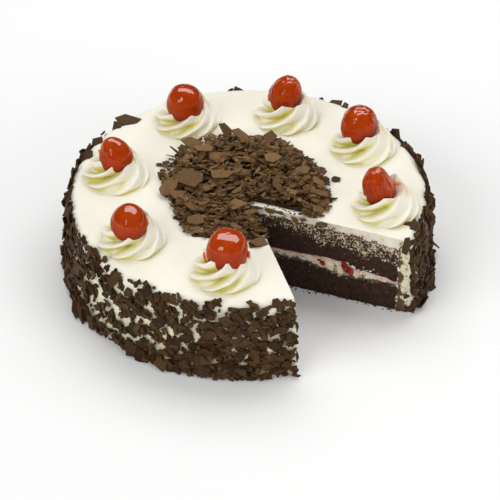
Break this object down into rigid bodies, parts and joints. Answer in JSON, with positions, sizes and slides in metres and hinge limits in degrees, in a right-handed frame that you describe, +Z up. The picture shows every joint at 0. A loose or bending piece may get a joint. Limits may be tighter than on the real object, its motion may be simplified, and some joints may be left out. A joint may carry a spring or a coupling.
{
  "type": "black forest cake",
  "caption": "Round layered chocolate cake with whipped cream, chocolate flakes, piped rosettes and cherries, one slice cut out.",
  "frame": {"origin": "centre of the box round the cake, at the face it stands on", "axes": "+Z up through the cake's middle; the missing slice opens between -Y and +X"},
  "size_m": [0.2288, 0.2289, 0.0829],
  "materials": {
    "sponge": "dark chocolate sponge, rough and open",
    "cream": "whipped cream, soft satin",
    "preserve": "cherry preserve, wet",
    "chocolate": "dark chocolate, dull to satin",
    "cherry": "glazed cherry, high gloss"
  },
  "bodies": {
    "root": {"sponge_lower": "sponge", "filling_cream": "cream", "filling_cherry": "preserve", "sponge_upper": "sponge", "cream_coat": "cream", "flake_coat": "chocolate", "shavings_heap": "chocolate", "rosette_1": "cream", "cherry_1": "cherry", "rosette_2": "cream", "cherry_2": "cherry", "rosette_3": "cream", "cherry_3": "cherry", "rosette_4": "cream", "cherry_4": "cherry", "rosette_5": "cream", "cherry_5": "cherry", "rosette_6": "cream", "cherry_6": "cherry", "rosette_7": "cream", "cherry_7": "cherry"}
  },
  "joints": []
}
